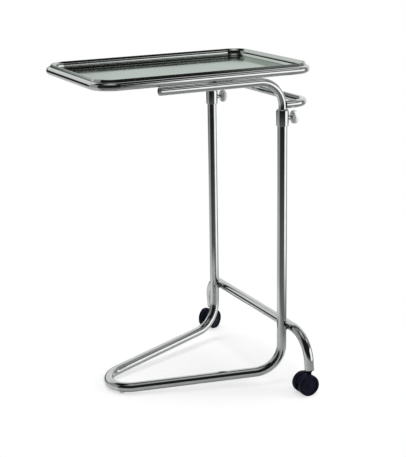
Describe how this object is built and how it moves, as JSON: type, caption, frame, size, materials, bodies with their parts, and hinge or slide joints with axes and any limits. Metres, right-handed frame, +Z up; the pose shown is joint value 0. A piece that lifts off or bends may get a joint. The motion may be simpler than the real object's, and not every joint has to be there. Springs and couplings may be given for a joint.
{
  "type": "two-post instrument and overbed table",
  "caption": "Two-post tubular steel table on rear casters: telescoping upper frame with a push handle carries a lift-off tray in a ring over the bed.",
  "frame": {"origin": "on the floor, midway across the casters and at the middle of the tray ring's length", "axes": "+X back, towards the posts, casters and push handle; +Y to the far post; +Z up"},
  "size_m": [0.6702, 0.6833, 0.9549],
  "materials": {
    "polished_steel": "mirror-polished stainless tube",
    "tray_steel": "bright drawn sheet, softly reflecting floor",
    "weld_metal": "dressed weld",
    "plated_steel": "zinc plated",
    "white_nylon": "moulded, slightly translucent white",
    "black_plastic": "moulded black",
    "black_tyre": "black tread"
  },
  "bodies": {
    "base": {"base_frame_tube": "polished_steel", "caster_crossbar": "polished_steel", "near_crossbar_weld": "weld_metal", "near_post_collar": "polished_steel", "near_guide_bush": "white_nylon", "near_caster_socket": "black_plastic", "near_toe_glide": "white_nylon", "far_crossbar_weld": "weld_metal", "far_post_collar": "polished_steel", "far_guide_bush": "white_nylon", "far_caster_socket": "black_plastic", "far_toe_glide": "white_nylon"},
    "near_clamp": {"near_clamp_pad": "white_nylon", "near_clamp_screw": "plated_steel", "near_clamp_knob": "white_nylon"},
    "far_clamp": {"far_clamp_pad": "white_nylon", "far_clamp_screw": "plated_steel", "far_clamp_knob": "white_nylon"},
    "near_caster": {"near_caster_body": "black_plastic", "near_caster_stem": "plated_steel", "near_caster_axle": "plated_steel"},
    "near_outer_wheel": {"near_outer_wheel_hub": "black_plastic", "near_outer_wheel_tyre": "black_tyre"},
    "near_inner_wheel": {"near_inner_wheel_hub": "black_plastic", "near_inner_wheel_tyre": "black_tyre"},
    "far_caster": {"far_caster_body": "black_plastic", "far_caster_stem": "plated_steel", "far_caster_axle": "plated_steel"},
    "far_outer_wheel": {"far_outer_wheel_hub": "black_plastic", "far_outer_wheel_tyre": "black_tyre"},
    "far_inner_wheel": {"far_inner_wheel_hub": "black_plastic", "far_inner_wheel_tyre": "black_tyre"},
    "upper_frame": {"near_upright_tube": "polished_steel", "near_slide_plug": "white_nylon", "near_front_end_plug": "plated_steel", "near_ring_tab": "weld_metal", "far_upright_tube": "polished_steel", "far_slide_plug": "white_nylon", "far_front_end_plug": "plated_steel", "far_ring_tab": "weld_metal", "tray_ring": "polished_steel", "push_handle": "polished_steel"},
    "tray": {"instrument_tray": "tray_steel"}
  },
  "joints": [
    {"name": "height_slide", "type": "slide", "parent": "base", "child": "upper_frame", "axis": [0, 0, 1], "range_m": [0, 0.5]},
    {"name": "tray_lift", "type": "slide", "parent": "upper_frame", "child": "tray", "axis": [0, 0, 1], "range_m": [0, 0.06]},
    {"name": "near_clamp_turn", "type": "hinge", "parent": "base", "child": "near_clamp", "pos_m": [0.221, -0.216, 0.807], "axis": [1, 0, 0], "range_deg": [0, 300]},
    {"name": "far_clamp_turn", "type": "hinge", "parent": "base", "child": "far_clamp", "pos_m": [0.221, 0.216, 0.807], "axis": [1, 0, 0], "range_deg": [0, 300]},
    {"name": "near_caster_swivel", "type": "hinge", "parent": "base", "child": "near_caster", "pos_m": [0.2584, -0.3124, 0.06], "axis": [0, 0, 1], "continuous": true},
    {"name": "near_outer_wheel_spin", "type": "hinge", "parent": "near_caster", "child": "near_outer_wheel", "pos_m": [0.2459, -0.3124, 0.03175], "axis": [0, 1, 0], "continuous": true},
    {"name": "near_inner_wheel_spin", "type": "hinge", "parent": "near_caster", "child": "near_inner_wheel", "pos_m": [0.2459, -0.3124, 0.03175], "axis": [0, 1, 0], "continuous": true},
    {"name": "far_caster_swivel", "type": "hinge", "parent": "base", "child": "far_caster", "pos_m": [0.2584, 0.3124, 0.06], "axis": [0, 0, 1], "continuous": true},
    {"name": "far_outer_wheel_spin", "type": "hinge", "parent": "far_caster", "child": "far_outer_wheel", "pos_m": [0.24757, 0.30615, 0.03175], "axis": [-0.5, 0.866, 0], "continuous": true},
    {"name": "far_inner_wheel_spin", "type": "hinge", "parent": "far_caster", "child": "far_inner_wheel", "pos_m": [0.24757, 0.30615, 0.03175], "axis": [-0.5, 0.866, 0], "continuous": true}
  ]
}
